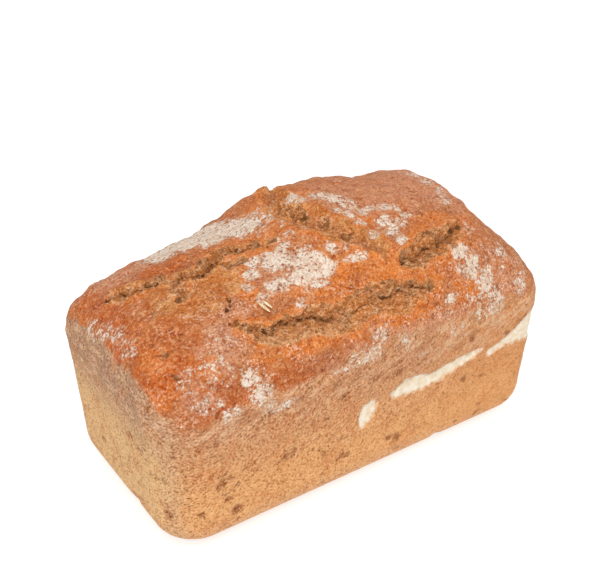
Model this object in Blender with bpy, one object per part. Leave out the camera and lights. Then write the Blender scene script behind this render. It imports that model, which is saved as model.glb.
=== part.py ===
"""A spelt loaf baked in a tin: a tapered body up to the tin's rim, and above it a torn, uneven crown.

Metres, +Z up. X runs along the loaf and Y across it. The origin is the middle of the flat base.
The side where the crown tore open faces -Y, and the lower end of the crown is at -X.
"""
import math

import bmesh
import bpy
import numpy as np
from mathutils import Vector, noise

MM = 0.001

# The body, which has the tin's shape
BASE_LENGTH = 0.198
BASE_WIDTH = 0.0964
TIN_DEPTH = 0.0573
WALL_LEAN = 0.0037
BASE_EDGE_RADIUS = 0.015
BASE_CORNER_RADIUS = 0.0166
RIM_CORNER_RADIUS = 0.0191
FILLET_SHARE = 0.25

# The crown above the tin's rim
# Height of the crown above the rim, at places along X
CROWN_PROFILE = (
    (-0.100, 0.0370),
    (-0.070, 0.0390),
    (-0.055, 0.0425),
    (-0.040, 0.0462),
    (-0.025, 0.0535),
    (-0.010, 0.0600),
    (0.050, 0.0605),
    (0.070, 0.0575),
    (0.085, 0.0465),
    (0.100, 0.0430),
)
CROWN_BLEND = 0.006
SHOULDER_POWER = 0.34
ACROSS_POWER = 1.8
ALONG_POWER = 6.0
BACKWARD_TILT = 0.14
OVERHANG = 0.0006
OVERHANG_HEIGHT = 0.009

# Rises and dips of the crown: middle along X and Y, radius, height
SWELLS = (
    (-0.030, 0.035, 0.007, 0.0022),
    (-0.0200, 0.0235, 0.0045, 0.0022),
    (-0.0108, 0.0195, 0.0034, 0.0026),
    (-0.0030, 0.0195, 0.0036, -0.0044),
    (-0.0070, 0.0135, 0.0028, -0.0014),
    (0.022, 0.014, 0.011, 0.0030),
    (0.034, 0.012, 0.013, -0.0026),
    (0.062, 0.006, 0.013, 0.0014),
)
LUMP_SIZE = 0.030
LUMP_HEIGHT = 0.0011
GRAIN_SIZE = 0.007
GRAIN_HEIGHT = 0.0005

# Tears: points along the deepest line in millimetres, each with the width of the torn slope above
# the line, of the one below it, and the depth of the line
FRONT_TEAR = (
    (-67, -33, 86, 2, 2, 1.0),
    (-58, -36, 82, 2, 3, 1.8),
    (-52, -39, 82, 2, 6, 2.2),
    (-45, -39, 82, 2, 7, 2.6),
    (-38, -39, 83, 2, 7, 3.0),
    (-32, -40, 82, 4, 6, 3.2),
    (-25, -42, 80, 6, 6, 3.8),
    (-19, -43, 79, 8, 4, 3.8),
    (-10, -41, 82, 9, 6, 3.8),
    (-3, -41, 83, 8, 7, 3.8),
    (7, -42, 83, 5, 8, 3.6),
    (17, -42, 84, 2, 7, 3.4),
    (26, -45, 83, 2, 4, 2.4),
)
SIDE_TEAR = (
    (-93, 17, 84, 2, 2, 1.5),
    (-83, 8, 89, 2, 3, 2.6),
    (-76, 4, 91, 2, 3, 3.0),
    (-69, 0, 93, 2, 4, 3.2),
    (-63, -6, 96, 2, 4, 3.2),
    (-57, -3, 98, 2, 6, 2.8),
    (-51, 1, 100, 2, 5, 2.6),
    (-42, -5, 102, 2, 3, 2.2),
    (-33, -12, 105, 2, 2, 1.5),
)
RIGHT_TEAR = (
    (13, -37, 92, 2, 3, 2.0),
    (18, -35, 94, 3, 5, 3.0),
    (24, -36, 93, 5, 5, 3.4),
    (30, -35, 95, 8, 4, 3.8),
    (38, -35, 96, 9, 4, 3.8),
    (43, -33, 97, 6, 4, 3.4),
    (50, -32, 99, 3, 3, 2.8),
    (57, -31, 102, 2, 2, 1.5),
)
VALLEY = (
    (6, 40, 103, 2, 2, 0.5),
    (-8, 26, 113, 3, 3, 0.9),
    (-15, 12, 114, 6, 5, 2.2),
    (-18, 2, 112, 8, 6, 3.2),
    (-16, -8, 110, 8, 6, 3.6),
    (-9, -17, 109, 7, 6, 3.6),
    (-3, -25, 104, 7, 5, 3.2),
    (5, -31, 101, 6, 4, 2.6),
    (12, -36, 96, 4, 3, 1.6),
)
SKIN = 0.004
UPHILL = Vector((0.0, 0.7, 0.7))
VALLEY_BACK = Vector((0.8, 0.6, 0.0))
LIP_HEIGHT = 0.0010
LIP_REACH = 0.004
RAGGED = 0.0012
RAGGED_SIZE = 0.008

# The pale streak where the dough split late: middle line in millimetres, each point with a half width
STREAK_LOW = (
    (3, -51, 41.2, 1.4),
    (10, -51, 42.5, 4.2),
    (17, -51, 42.4, 4.0),
    (24, -51, 41.6, 2.8),
    (33, -51, 42.8, 3.0),
    (42, -51, 44.8, 2.6),
    (50, -51, 46, 1.8),
    (57, -51, 47.2, 0.6),
)
STREAK_END = (
    (62, -51, 44, 1.6),
    (67, -51, 45, 1.4),
    (73, -51, 46.7, 1.5),
    (80, -51, 48.2, 3.4),
    (88, -50, 50.5, 6.8),
    (97, -47, 51.5, 8.5),
    (102, -36, 52, 7.5),
    (104, -20, 52, 1.5),
)
STREAK_SPOT = (
    (-15, -51, 32, 2.4),
    (-15, -51, 38, 3.4),
    (-10, -51, 39.5, 3.4),
    (-6, -51, 40, 1.8),
)
STREAK_DEPTH = 0.0007
STREAK_EDGE = 0.0012

# Holes and pits: places in millimetres, each with a radius and a depth
HOLES = (
    (-59, -51, 55, 1.1, 1.8),
    (26, -45.5, 82.5, 2.2, 2.2),
    (-15.5, -6.5, 110.4, 2.6, 1.8),
    (-8, -16.3, 108.6, 2.0, 1.6),
    (-3, -25.3, 104, 2.1, 1.6),
    (-79, -50, 31, 2.0, 1.1),
    (-73, -49, 16, 2.2, 0.9),
    (-98, -13, 10, 3.5, 1.4),
)

# A chip out of the bottom edge, given in the same way
BASE_CHIP = (
    (36.5, -43, 4.5, 2.4, 2.2),
    (40.5, -42, 3.5, 1.8, 1.2),
)

# The straw-like husk on the crown
HUSK_START = Vector((-0.0513, -0.0322, 0.0904))
HUSK_END = Vector((-0.0492, -0.0368, 0.0879))
HUSK_WIDTH = 0.0016
HUSK_HEIGHT = 0.0014

# The grid that is bent into the loaf, and the share of its faces that is kept
CELLS_ALONG = 110
CELLS_ACROSS = 72
CELLS_UP = 30
EDGE_CROWDING = 0.97
KEPT_SHARE = 0.185

CRUST_COLOUR = (0.51, 0.20, 0.065, 1.0)


def smooth(t):
    """A step from 0 to 1 with level ends."""
    t = np.clip(t, 0.0, 1.0)
    return t * t * (3.0 - 2.0 * t)


def mound(distance, radius):
    """1 in the middle, falling to 0 at the radius."""
    return smooth(1.0 - distance / radius)


def crowd(t):
    """Moves grid lines towards the ends, where the surface turns fastest."""
    return (1.0 - EDGE_CROWDING) * t + EDGE_CROWDING * np.sin(0.5 * math.pi * t)


def rounded_plan(u, v, half_length, half_width, radius):
    """Bends a square grid into a rectangle with round corners."""
    x = u * half_length
    y = v * half_width
    past_x = np.abs(x) - (half_length - radius)
    past_y = np.abs(y) - (half_width - radius)
    corner = (past_x > 0.0) & (past_y > 0.0)
    shrink_x = np.sqrt(np.clip(1.0 - 0.5 * (past_y / radius) ** 2, 0.0, 1.0))
    shrink_y = np.sqrt(np.clip(1.0 - 0.5 * (past_x / radius) ** 2, 0.0, 1.0))
    turned_x = half_length - radius + past_x * shrink_x
    turned_y = half_width - radius + past_y * shrink_y
    return np.where(corner, np.sign(x) * turned_x, x), np.where(corner, np.sign(y) * turned_y, y)


def crown_height(x):
    """Height of the crown above the rim along the loaf."""
    at = [row[0] for row in CROWN_PROFILE]
    height = [row[1] for row in CROWN_PROFILE]
    blend = np.linspace(-CROWN_BLEND, CROWN_BLEND, 7)
    return np.mean([np.interp(x + step, at, height) for step in blend], axis=0)


def crown_points(u, v):
    """The crown, over the whole plan inside the rim."""
    half_length = 0.5 * BASE_LENGTH + WALL_LEAN
    half_width = 0.5 * BASE_WIDTH + WALL_LEAN
    x, y = rounded_plan(u, v, half_length, half_width, RIM_CORNER_RADIUS)
    end_fall = np.clip(1.0 - np.abs(u) ** ALONG_POWER, 0.0, 1.0) ** SHOULDER_POWER
    side_fall = np.clip(1.0 - np.abs(v) ** ACROSS_POWER, 0.0, 1.0) ** SHOULDER_POWER
    rise = crown_height(x) * end_fall * side_fall
    for middle_x, middle_y, radius, height in SWELLS:
        rise = rise + height * mound(np.hypot(x - middle_x, y - middle_y), 2.0 * radius)
    return np.stack([x, y + BACKWARD_TILT * rise, TIN_DEPTH + rise], axis=-1)


def body_points(u, v, w):
    """The walls and the base: a round edge at the bottom, then a wall that leans outwards."""
    share = 0.5 * (w + 1.0)
    turn = np.clip(share / FILLET_SHARE, 0.0, 1.0) * 0.5 * math.pi
    inset = np.where(share < FILLET_SHARE, BASE_EDGE_RADIUS * (1.0 - np.sin(turn)), 0.0)
    up_wall = (share - FILLET_SHARE) / (1.0 - FILLET_SHARE)
    straight = BASE_EDGE_RADIUS + (TIN_DEPTH - BASE_EDGE_RADIUS) * up_wall
    z = np.where(share < FILLET_SHARE, BASE_EDGE_RADIUS * (1.0 - np.cos(turn)), straight)
    grow = WALL_LEAN * z / TIN_DEPTH - inset
    radius = BASE_CORNER_RADIUS + (RIM_CORNER_RADIUS - BASE_CORNER_RADIUS) * z / TIN_DEPTH - 0.6 * inset
    x, y = rounded_plan(u, v, 0.5 * BASE_LENGTH + grow, 0.5 * BASE_WIDTH + grow, radius)
    return np.stack([x, y, z], axis=-1)


def noise_at(points, size, offset):
    """Smooth noise from -1 to 1 with features of the given size."""
    shift = Vector((offset, 2.0 * offset, -offset))
    return np.array([noise.noise(Vector(p) / size + shift) for p in points])


def nearest_on_route(points, normals, route):
    """Distance to a route along the surface, the share of its length, and the offset from it."""
    best = np.full(len(points), np.inf)
    share = np.zeros(len(points))
    offset = np.zeros_like(points)
    steps = np.linalg.norm(np.diff(route, axis=0), axis=1)
    walked = np.concatenate([[0.0], np.cumsum(steps)])
    for i in range(len(steps)):
        run = route[i + 1] - route[i]
        t = np.clip(((points - route[i]) @ run) / (run @ run), 0.0, 1.0)
        away = points - (route[i] + t[:, None] * run)
        through = np.sum(away * normals, axis=1)
        away = away - through[:, None] * normals
        other_side = np.maximum(np.abs(through) - SKIN, 0.0)
        distance = np.linalg.norm(away, axis=1) + 3.0 * other_side
        closer = distance < best
        best = np.where(closer, distance, best)
        share = np.where(closer, (walked[i] + t * steps[i]) / walked[-1], share)
        offset = np.where(closer[:, None], away, offset)
    return best, share, offset


def along(rows, share, column):
    """A value given at each point of a route, read at a share of the route's length."""
    table = np.array(rows, dtype=float)
    steps = np.linalg.norm(np.diff(table[:, :3], axis=0), axis=1)
    at = np.concatenate([[0.0], np.cumsum(steps)]) / steps.sum()
    return np.interp(share, at, table[:, column])


def tear_relief(points, normals, rows, uphill, offset):
    """Two torn slopes that meet in a deep line, under a slightly raised lip of crust."""
    route = np.array(rows, dtype=float)[:, :3] * MM
    distance, share, away = nearest_on_route(points, normals, route)
    across = np.sign(away @ np.array(uphill)) * distance
    across = across + RAGGED * noise_at(points, RAGGED_SIZE, offset)
    above = along(rows, share, 3) * MM
    below = along(rows, share, 4) * MM
    depth = along(rows, share, 5) * MM
    width = np.where(across > 0.0, above, below)
    reach = np.abs(across) / width
    ends = smooth(np.minimum(share, 1.0 - share) / 0.05 + 0.25)
    near = ends * smooth(2.0 - distance / (width + 2.0 * RAGGED))
    dip = -depth * np.clip(1.0 - reach, 0.0, 1.0) ** np.where(across > 0.0, 0.6, 1.0)
    lip = LIP_HEIGHT * mound(np.abs(np.abs(across) - width), LIP_REACH)
    lip = lip * np.where(across > 0.0, 1.0, 0.35)
    return (dip + lip) * near


def dent(points, rows):
    """How deep round dents go in, from rows of a place in millimetres, a radius and a depth."""
    deep = np.zeros(len(points))
    for x, y, z, radius, depth in rows:
        distance = np.linalg.norm(points - np.array([x, y, z]) * MM, axis=1)
        deep = np.maximum(deep, depth * MM * mound(distance, 2.0 * radius * MM))
    return deep


def relief(points, normals):
    """How far each point stands out of the smooth form, measured along its normal."""
    z = points[:, 2]
    off_base = smooth(z / BASE_EDGE_RADIUS)
    crown = smooth((z - TIN_DEPTH) / 0.012)
    amount = LUMP_HEIGHT * noise_at(points, LUMP_SIZE, 3.1) * (0.3 + 0.7 * crown)
    amount = amount + GRAIN_HEIGHT * noise_at(points, GRAIN_SIZE, 7.7) * (0.25 + 0.75 * crown)
    amount = amount + OVERHANG * mound(np.abs(z - TIN_DEPTH - OVERHANG_HEIGHT), 1.6 * OVERHANG_HEIGHT)
    amount = amount + tear_relief(points, normals, FRONT_TEAR, UPHILL, 11.0)
    amount = amount + tear_relief(points, normals, SIDE_TEAR, UPHILL, 17.0)
    amount = amount + tear_relief(points, normals, RIGHT_TEAR, UPHILL, 23.0)
    amount = amount + tear_relief(points, normals, VALLEY, VALLEY_BACK, 29.0)
    for rows in (STREAK_LOW, STREAK_END, STREAK_SPOT):
        route = np.array(rows, dtype=float)[:, :3] * MM
        distance, share, _ = nearest_on_route(points, normals, route)
        inside = along(rows, share, 3) * MM - distance
        amount = amount - STREAK_DEPTH * smooth(inside / STREAK_EDGE + 0.5)
    amount = amount - dent(points, HOLES)
    return amount * off_base - dent(points, BASE_CHIP)


def new_object(name, mesh, collection):
    """An object that holds the mesh, in the given collection."""
    item = bpy.data.objects.new(name, mesh)
    collection.objects.link(item)
    return item


def cut_edges(bm, axis, cells):
    """Divides the edges that run along one axis."""
    edges = [e for e in bm.edges if abs((e.verts[0].co - e.verts[1].co)[axis]) > 1.0]
    bmesh.ops.subdivide_edges(bm, edges=edges, cuts=cells - 1, use_grid_fill=True)


def make_loaf_mesh():
    """A block of fine cells, bent into the loaf and then given its relief."""
    bm = bmesh.new()
    bmesh.ops.create_cube(bm, size=2.0)
    for axis, cells in enumerate((CELLS_ALONG, CELLS_ACROSS, CELLS_UP)):
        cut_edges(bm, axis, cells)
    grid = np.array([v.co[:] for v in bm.verts])
    u = crowd(grid[:, 0])
    v = crowd(grid[:, 1])
    on_crown = grid[:, 2] > 0.9999
    places = np.where(on_crown[:, None], crown_points(u, v), body_points(u, v, grid[:, 2]))
    for vert, place in zip(bm.verts, places):
        vert.co = place
    bmesh.ops.recalc_face_normals(bm, faces=bm.faces)
    bm.normal_update()
    normals = np.array([v.normal[:] for v in bm.verts])
    amount = relief(places, normals)
    for vert, far in zip(bm.verts, amount):
        vert.co = vert.co + vert.normal * float(far)
    bmesh.ops.triangulate(bm, faces=bm.faces)
    mesh = bpy.data.meshes.new("loaf")
    bm.to_mesh(mesh)
    bm.free()
    return mesh


def make_husk_mesh():
    """A flat, pointed sliver, lying half sunk in the crown."""
    bm = bmesh.new()
    bmesh.ops.create_icosphere(bm, subdivisions=2, radius=0.5)
    run = HUSK_END - HUSK_START
    turn = run.to_track_quat("X", "Z").to_matrix().to_4x4()
    bmesh.ops.scale(bm, vec=(run.length, HUSK_WIDTH, HUSK_HEIGHT), verts=bm.verts)
    bmesh.ops.transform(bm, matrix=turn, verts=bm.verts)
    bmesh.ops.translate(bm, vec=0.5 * (HUSK_START + HUSK_END), verts=bm.verts)
    mesh = bpy.data.meshes.new("husk")
    bm.to_mesh(mesh)
    bm.free()
    return mesh


def make_crust_material():
    """Baked crust, dry and matt."""
    material = bpy.data.materials.new("baked_crust")
    material.use_nodes = True
    shader = material.node_tree.nodes["Principled BSDF"]
    shader.inputs["Base Color"].default_value = CRUST_COLOUR
    shader.inputs["Roughness"].default_value = 0.75
    shader.inputs["Metallic"].default_value = 0.0
    return material


def main():
    """Clears the scene and makes the loaf."""
    for item in list(bpy.data.objects):
        bpy.data.objects.remove(item, do_unlink=True)
    parts = bpy.data.collections.new("spelt_loaf")
    cutters = bpy.data.collections.new("joined_pieces")
    bpy.context.scene.collection.children.link(parts)
    bpy.context.scene.collection.children.link(cutters)

    loaf = new_object("loaf", make_loaf_mesh(), parts)
    loaf.data.materials.append(make_crust_material())
    thin = loaf.modifiers.new("fewer_faces", "DECIMATE")
    thin.decimate_type = "COLLAPSE"
    thin.ratio = KEPT_SHARE
    thin.use_collapse_triangulate = True

    husk = new_object("husk", make_husk_mesh(), cutters)
    husk.hide_render = True
    husk.display_type = "WIRE"
    join = loaf.modifiers.new("husk_on_crown", "BOOLEAN")
    join.operation = "UNION"
    join.solver = "EXACT"
    join.object = husk
    loaf.data.shade_smooth()


main()
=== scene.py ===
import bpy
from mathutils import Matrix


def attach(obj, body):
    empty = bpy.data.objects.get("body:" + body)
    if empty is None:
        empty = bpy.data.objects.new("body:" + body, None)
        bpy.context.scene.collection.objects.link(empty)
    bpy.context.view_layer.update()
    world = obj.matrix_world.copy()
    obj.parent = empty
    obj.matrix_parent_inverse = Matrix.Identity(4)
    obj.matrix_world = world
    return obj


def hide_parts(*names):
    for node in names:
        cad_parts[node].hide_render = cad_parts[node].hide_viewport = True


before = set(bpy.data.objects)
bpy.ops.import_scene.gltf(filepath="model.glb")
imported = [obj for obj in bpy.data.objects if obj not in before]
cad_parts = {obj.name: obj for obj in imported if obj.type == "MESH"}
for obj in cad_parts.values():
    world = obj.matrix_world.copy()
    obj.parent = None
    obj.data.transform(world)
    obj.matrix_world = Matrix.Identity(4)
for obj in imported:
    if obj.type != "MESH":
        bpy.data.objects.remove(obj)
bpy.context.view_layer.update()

import math
from types import SimpleNamespace

import bmesh
import bpy
import numpy as np
from mathutils import Matrix, Vector, noise

MM = 0.001

# The body, which has the tin's shape
BASE_LENGTH = 0.198
BASE_WIDTH = 0.0964
TIN_DEPTH = 0.0573
WALL_LEAN = 0.0037
BASE_EDGE_RADIUS = 0.015
BASE_CORNER_RADIUS = 0.0166
RIM_CORNER_RADIUS = 0.0191
FILLET_SHARE = 0.25
CORNER_INSET = 0.6

# The crown above the tin's rim: its height at places along X
CROWN_PROFILE = (
    (-0.100, 0.0370),
    (-0.070, 0.0390),
    (-0.055, 0.0425),
    (-0.040, 0.0462),
    (-0.025, 0.0535),
    (-0.010, 0.0600),
    (0.050, 0.0605),
    (0.070, 0.0575),
    (0.085, 0.0465),
    (0.100, 0.0430),
)
CROWN_BLEND = 0.006
SHOULDER_POWER = 0.34
ACROSS_POWER = 1.8
ALONG_POWER = 6.0
BACKWARD_TILT = 0.14
OVERHANG = 0.0006
OVERHANG_HEIGHT = 0.009
OVERHANG_REACH = 0.0144

# Rises and dips of the crown: middle along X and Y, radius, height
SWELLS = (
    (-0.030, 0.035, 0.007, 0.0022),
    (-0.0200, 0.0235, 0.0045, 0.0022),
    (-0.0108, 0.0195, 0.0034, 0.0026),
    (-0.0030, 0.0195, 0.0036, -0.0044),
    (-0.0070, 0.0135, 0.0028, -0.0014),
    (0.022, 0.014, 0.011, 0.0030),
    (0.034, 0.012, 0.013, -0.0026),
    (0.062, 0.006, 0.013, 0.0014),
)

# Tears: points along the deepest line in millimetres, each with the width of the torn slope above
# the line, of the one below it, and the depth of the line
FRONT_TEAR = (
    (-67, -33, 86, 1, 1, 1.0),
    (-58, -36, 82, 1, 3, 1.8),
    (-52, -39, 82, 1, 6, 2.2),
    (-45, -39, 82, 1, 7, 2.6),
    (-38, -39, 83, 2, 7, 3.0),
    (-32, -40, 82, 4, 6, 3.2),
    (-25, -42, 80, 6, 6, 3.8),
    (-19, -43, 79, 8, 4, 3.8),
    (-10, -41, 82, 9, 6, 3.8),
    (-3, -41, 83, 8, 7, 3.8),
    (7, -42, 83, 5, 8, 3.6),
    (17, -42, 84, 2, 7, 3.4),
    (26, -45, 83, 1, 4, 2.4),
)
SIDE_TEAR = (
    (-93, 17, 84, 2, 3, 1.5),
    (-83, 8, 89, 3, 4, 2.6),
    (-76, 4, 91, 1, 3, 2.2),
    (-69, 0, 93, 1, 5, 3.2),
    (-63, -6, 96, 2, 5, 3.2),
    (-57, -3, 98, 3, 6, 2.8),
    (-51, 1, 100, 2, 5, 2.6),
    (-42, -5, 102, 1, 2, 1.6),
    (-33, -12, 105, 1, 1, 1.5),
)
RIGHT_TEAR = (
    (13, -37, 92, 2, 3, 2.0),
    (18, -35, 94, 3, 4, 3.0),
    (24, -36, 93, 5, 4, 3.6),
    (30, -35, 95, 6, 4, 4.2),
    (38, -35, 96, 6, 4, 4.2),
    (43, -33, 97, 5, 4, 3.6),
    (50, -32, 99, 3, 5, 2.8),
    (57, -31, 102, 1, 1, 1.5),
)
VALLEY = (
    (6, 40, 103, 2, 2, 0.5),
    (-8, 26, 113, 3, 3, 0.9),
    (-15, 12, 114, 6, 5, 2.2),
    (-18, 2, 112, 8, 6, 3.2),
    (-16, -8, 110, 8, 6, 3.6),
    (-9, -17, 109, 7, 6, 3.6),
    (-3, -25, 104, 7, 5, 3.2),
    (5, -31, 101, 6, 4, 2.6),
    (12, -36, 96, 4, 3, 1.6),
)

# What all tears share: how far through the loaf they are felt, which way is above the line, their
# ends, the lip of crust above and below, the deep slot, and how their edges wander and fade
SKIN = 0.004
THROUGH_WEIGHT = 3.0
UPHILL = (0.0, 0.7, 0.7)
VALLEY_BACK = (0.8, 0.6, 0.0)
END_SHARE = 0.05
END_START = 0.25
UPPER_SLOPE_POWER = 0.6
LIP_HEIGHT = 0.0010
LIP_REACH = 0.004
LOWER_LIP_SHARE = 0.35
SLOT_DEPTH = 0.0016
SLOT_WIDTH = 0.0007
SLOT_GAPS = ((0.009, 51.0, 1.4),)
SLOT_START = 0.6
RAGGED = 0.0015
RAGGED_SIZE = 0.007
TORN_FADE = 0.0014
VALLEY_FADE = 0.0020

# Layers of relief: the size of the features, where the noise starts, and the height
LUMPS = ((0.030, 3.1, 0.0011),)
GRAIN = ((0.007, 7.7, 0.0005),)
CRAGS = ((0.0050, 61.0, 0.0016), (0.0026, 67.0, 0.00112), (0.0015, 69.0, 0.0008))
BLISTERS = ((0.0036, 71.0, 0.00055), (0.0080, 73.0, 0.0010))
WALL_GRAIN = ((0.0030, 79.0, 0.00012),)
WALL_GRAIN_SQUASH = (1.0, 1.0, 1.8)
CROWN_FADE = 0.012

# A distance that stands for nothing near, in metres and in millimetres
FAR = 0.02
FAR_MM = 20.0

# A short split in the crown, and the tan skin beside it that tore late: places in millimetres
SHORT_SPLIT = ((-58, -19, 95), (-59, -23, 93), (-61, -28, 91), (-64, -29, 90))
SPLIT_REACH = 0.0012
TAN_PATCH = (-68, -13, 93)
TAN_REACH = (17, 13, 13)
TAN_RIM = 1.7

# Small holes in the crown: places in millimetres, radius and depth
CROWN_HOLES = (
    (-86, -13, 89, 1.0, 1.2),
    (-76, -15, 92, 1.6, 1.4),
    (-93, -26, 83, 1.3, 1.2),
    (-91, -33, 81, 1.6, 1.3),
    (-91, -41, 76, 1.2, 1.0),
    (26, -45, 83, 1.0, 1.6),
    (-13, -7, 113.5, 1.2, 1.0),
    (-8.5, -20, 110, 0.8, 0.8),
    (-60, -25, 92.5, 1.0, 1.0),
    (-63, -29, 90.5, 1.4, 1.2),
)

# Pits where the inner crumb shows: places in millimetres, radius and depth
CRUMB_PITS = (
    (-17.5, 5, 114.5, 2.6, 1.0),
    (-16, 0, 114.2, 3.2, 1.6),
    (-14, -5, 113.2, 3.8, 1.8),
    (-13.5, -10, 111.6, 2.2, 1.2),
    (-8, -16, 110.8, 3.0, 1.6),
    (-3, -24.5, 107.0, 3.4, 1.6),
    (26, -45.5, 84, 2.4, 2.2),
    (46, -36, 96.5, 3.0, 0.8),
    (-73.7, -10.8, 94.4, 3.6, 1.2),
    (-74.2, -15, 93.2, 2.6, 0.8),
    (-72.3, -6.6, 95.2, 3.0, 1.0),
    (-54, -2.5, 98.9, 3.0, 1.0),
    (-51.5, -9.5, 99.4, 2.6, 0.8),
    (-46, -10.5, 100.3, 2.4, 0.6),
    (-37, -7.7, 103.6, 2.0, 0.8),
    (-31.4, -10.3, 105.6, 2.2, 0.9),
    (-91, 12.3, 87.2, 2.6, 0.8),
    (-88.7, 7.6, 89.2, 3.0, 1.0),
    (-82, 6, 91, 2.8, 0.8),
)

# A chip out of the bottom edge: its place in millimetres, radius and depth
BASE_CHIP = ((36.5, -43, 4.5, 2.4, 2.2), (40.5, -42, 3.5, 1.8, 1.2))

# Marks on the walls: places in millimetres, radius and depth
WALL_HOLES = (
    (-59, -51, 55, 1.1, 1.8),
    (-79, -50, 31, 2.0, 1.1),
    (-73, -49, 16, 2.2, 0.9),
    (-98, -41, 20, 1.7, 0.8),
    (-82, -51, 50, 1.4, 0.9),
    (-77, -50, 23, 1.3, 0.8),
    (-88, -49, 20, 1.0, 0.6),
    (-102, -21, 45, 1.8, 0.9),
    (-51, -50, 32, 1.4, 0.8),
    (-47, -50, 33, 1.2, 0.8),
    (-32, -50, 26, 1.2, 0.8),
    (-24, -52, 50, 1.6, 0.5),
    (6, -52, 52, 1.8, 0.6),
    (48, -52, 55, 1.7, 0.6),
    (3, -50, 19, 1.6, 0.8),
    (8, -50, 18, 1.8, 0.8),
    (-98, -13, 10, 3.5, 1.4),
)

# Small pits left by bubbles against the tin: how many, the radius in millimetres, how much longer
# than high, how deep in shares of the radius, and how high up in shares of the tin's depth
WALL_PITS = 90
WALL_PIT_SEED = 20
WALL_PIT_RADIUS = (0.4, 1.0)
WALL_PIT_STRETCH = (1.2, 2.6)
WALL_PIT_DEPTH = (0.35, 0.7)
WALL_PIT_HEIGHT = (0.10, 0.95)
WALL_PIT_THROUGH = 0.25

# The pale streak where the dough split late: its middle line, each point with a half width, in
# millimetres
STREAK_LOW = (
    (3, -51, 41.2, 1.4),
    (10, -51, 42.5, 4.2),
    (17, -51, 42.4, 4.0),
    (24, -51, 41.6, 2.8),
    (33, -51, 42.8, 3.0),
    (42, -51, 44.8, 2.6),
    (50, -51, 46, 1.8),
    (57, -51, 47.2, 0.6),
)
STREAK_END = (
    (62, -51, 44, 1.8),
    (67, -51, 45, 1.6),
    (73, -51, 46.7, 2.2),
    (80, -51, 48.2, 4.2),
    (88, -50, 50.5, 7.4),
    (97, -47, 51.5, 9.0),
    (102, -36, 52, 8.0),
    (104, -20, 52, 1.5),
)
STREAK_SPOT = (
    (-12.5, -51, 32, 2.0),
    (-11.5, -51, 35, 3.8),
    (-10, -51, 38, 4.2),
    (-8, -51, 40, 2.6),
)
STREAK_DEPTH = 0.0007
STREAK_EDGE = 0.0012

# Two slivers of husk that lie on the crown
HUSK_WIDTH = 0.0012
HUSKS = (
    ("husk_long", (-0.0513, -0.0322, 0.0906), (-0.0492, -0.0368, 0.0882), 0.0011),
    ("husk_short", (-0.0494, -0.0324, 0.0911), (-0.0476, -0.0360, 0.0890), 0.0009),
)

# The dark crust's lower edge: its height along the front, as places along X and heights in
# millimetres, then its height at the low end and the back, and how it wanders
CRUST_EDGE_FRONT = (
    (-102, 66), (-94, 58), (-74, 61), (-60, 62),
    (-45, 64), (-30, 66), (0, 69), (100, 67),
)
CRUST_EDGE_LOW_END = 0.074
CRUST_EDGE_BACK = 0.066
CRUST_EDGE_WANDER = ((0.012, 41.0, 0.0036), (0.004, 43.0, 0.0024))

# How softly that edge fades along the front, and how much more at the low end and to the right
CRUST_FADE = 0.008
CRUST_FADE_LOW_END = 0.003
CRUST_FADE_RIGHT = 0.010

# Where one side of the loaf gives way to the next: the start and the length of the change
CRUST_TO_LOW_END = (0.0985, 0.0025)
CRUST_OFF_FRONT = (-0.046, 0.010)
CRUST_TO_BACK = (-0.010, 0.030)
CRUST_TO_RIGHT = (-0.045, 0.030)
WALL_TO_LOW_END = (0.088, 0.012)
WALL_OFF_FRONT = (-0.051, 0.014)

# Depth of the finest relief, which the material gives as bumps
FINE_RELIEF_DEPTH = 0.0014

# The grid that is bent into the loaf
CELLS_ALONG = 340
CELLS_ACROSS = 166
CELLS_UP = 34
EDGE_CROWDING = 0.97

# The camera of the photograph, with its focal length for a 36 mm wide sensor
CAMERA_PLACE = Vector((-0.19006, -0.25086, 0.20582))
CAMERA_AZIMUTH = -35.82
CAMERA_ELEVATION = 22.93
CAMERA_ROLL = 0.47
CAMERA_LENS = 45.3
SENSOR_WIDTH = 36.0
CLIP_START = 0.01

# The studio: the floor's half size, colours and glow, the surround and the one lamp
FLOOR_REACH = 14.0
FLOOR_COLOUR = "#b0b0af"
FLOOR_GLOW_COLOUR = "#fffefc"
FLOOR_GLOW = 0.68
SURROUND_STRENGTH = 0.82
LAMP_PLACE = (-0.45, -0.75, 1.0)
LAMP_AIM = (0.0, 0.0, 0.05)
LAMP_SIZE = 0.7
LAMP_POWER = 9.5


def smooth(t):
    """A step from 0 to 1 with level ends."""
    t = np.clip(t, 0.0, 1.0)
    return t * t * (3.0 - 2.0 * t)


def change(value, start, length):
    """0 up to the start, and 1 from the end of the length."""
    return smooth((value - start) / length)


def mound(distance, radius):
    """1 in the middle, falling to 0 at the radius."""
    return smooth(1.0 - distance / radius)


def crowd(t):
    """Moves grid lines towards the ends, where the surface turns fastest."""
    return (1.0 - EDGE_CROWDING) * t + EDGE_CROWDING * np.sin(0.5 * math.pi * t)


def rounded_plan(u, v, half_length, half_width, radius):
    """Bends a square grid into a rectangle with round corners."""
    x = u * half_length
    y = v * half_width
    past_x = np.abs(x) - (half_length - radius)
    past_y = np.abs(y) - (half_width - radius)
    corner = (past_x > 0.0) & (past_y > 0.0)
    fall_x = np.sqrt(np.clip(1.0 - 0.5 * (past_y / radius) ** 2, 0.0, 1.0))
    fall_y = np.sqrt(np.clip(1.0 - 0.5 * (past_x / radius) ** 2, 0.0, 1.0))
    turned_x = half_length - radius + past_x * fall_x
    turned_y = half_width - radius + past_y * fall_y
    return np.where(corner, np.sign(x) * turned_x, x), np.where(corner, np.sign(y) * turned_y, y)


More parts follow.
